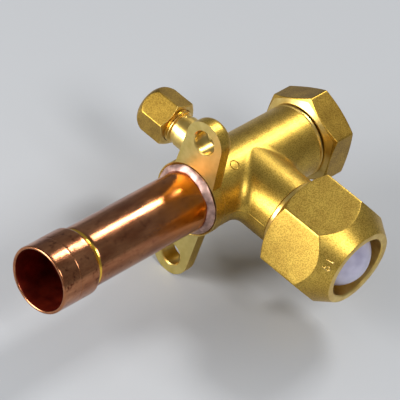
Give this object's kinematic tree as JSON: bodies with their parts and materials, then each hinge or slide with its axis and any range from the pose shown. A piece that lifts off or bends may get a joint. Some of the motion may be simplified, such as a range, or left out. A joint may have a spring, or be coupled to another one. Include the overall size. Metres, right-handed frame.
{
  "type": "refrigerant service valve",
  "caption": "Forged brass angle service valve with flanged mounting face, brazed copper stub, capped stem, flare nut and capped service port.",
  "frame": {"origin": "centre of the flange's mounting face, midway between the bolt holes, on the axis of the copper stub and stem", "axes": "-X along the copper stub, +X along the stem housing to its cap, -Y along the flare connection, +Y along the service port, +Z to the upper bolt hole"},
  "size_m": [0.1254, 0.0888, 0.059],
  "materials": {
    "forged_brass": "satin",
    "machined_brass": "polished",
    "nut_brass": "satin",
    "cap_brass": "satin",
    "service_cap_brass": "satin",
    "copper": "polished",
    "braze_alloy": "satin",
    "spring_steel": "satin",
    "seal_rubber": "matte",
    "seal_fibre": "matte",
    "bonnet_plastic": "satin"
  },
  "bodies": {
    "body": {"valve_body": "forged_brass", "copper_stub": "copper", "braze_fillet": "braze_alloy", "stem_retaining_ring": "spring_steel", "core_housing": "machined_brass", "core_barrel_seal": "seal_fibre", "core_spring": "spring_steel"},
    "stem_carriage": {"stem_o_ring_1": "seal_rubber", "stem_o_ring_2": "seal_rubber"},
    "stem": {"valve_stem": "machined_brass"},
    "stem_cap_carriage": {"stem_cap_washer": "seal_fibre"},
    "stem_cap": {"stem_cap": "cap_brass"},
    "flare_carriage": {"flare_bonnet": "bonnet_plastic"},
    "flare_nut": {"flare_nut": "nut_brass"},
    "service_cap_carriage": {"service_cap_seal": "seal_rubber"},
    "service_cap": {"service_cap": "service_cap_brass"},
    "core_pin": {"core_pin": "machined_brass", "core_seat_seal": "seal_rubber"}
  },
  "joints": [
    {"name": "stem_travel", "type": "slide", "parent": "body", "child": "stem_carriage", "axis": [1, 0, 0], "range_m": [0, 0.009]},
    {"name": "stem_turn", "type": "hinge", "parent": "stem_carriage", "child": "stem", "pos_m": [0.03, 0, 0], "axis": [1, 0, 0], "range_deg": [0, 2160.5]},
    {"name": "stem_cap_travel", "type": "slide", "parent": "body", "child": "stem_cap_carriage", "axis": [1, 0, 0], "range_m": [0, 0.0105]},
    {"name": "stem_cap_turn", "type": "hinge", "parent": "stem_cap_carriage", "child": "stem_cap", "pos_m": [0.055, 0, 0], "axis": [1, 0, 0], "range_deg": [0, 2520.5]},
    {"name": "flare_nut_travel", "type": "slide", "parent": "body", "child": "flare_carriage", "axis": [0, -1, 0], "range_m": [0, 0.0165]},
    {"name": "flare_nut_turn", "type": "hinge", "parent": "flare_carriage", "child": "flare_nut", "pos_m": [0.0231, -0.035, 0], "axis": [0, -1, 0], "range_deg": [0, 3275]},
    {"name": "service_cap_travel", "type": "slide", "parent": "body", "child": "service_cap_carriage", "axis": [0, 1, 0], "range_m": [0, 0.0095]},
    {"name": "service_cap_turn", "type": "hinge", "parent": "service_cap_carriage", "child": "service_cap", "pos_m": [0.0217, 0.03, 0], "axis": [0, 1, 0], "range_deg": [0, 2693.4]},
    {"name": "core_pin_press", "type": "slide", "parent": "body", "child": "core_pin", "axis": [0, -1, 0], "range_m": [0, 0.0022], "stiffness_N_per_m": 900, "springref_m": -0.0008, "deforming": ["core_spring"]}
  ],
  "couplings": [
    {"joint": "stem_turn", "follows": "stem_travel", "rad_per_m": 4188.8},
    {"joint": "stem_cap_turn", "follows": "stem_cap_travel", "rad_per_m": 4188.8},
    {"joint": "flare_nut_turn", "follows": "flare_nut_travel", "rad_per_m": 3463.7},
    {"joint": "service_cap_turn", "follows": "service_cap_travel", "rad_per_m": 4947.4}
  ]
}
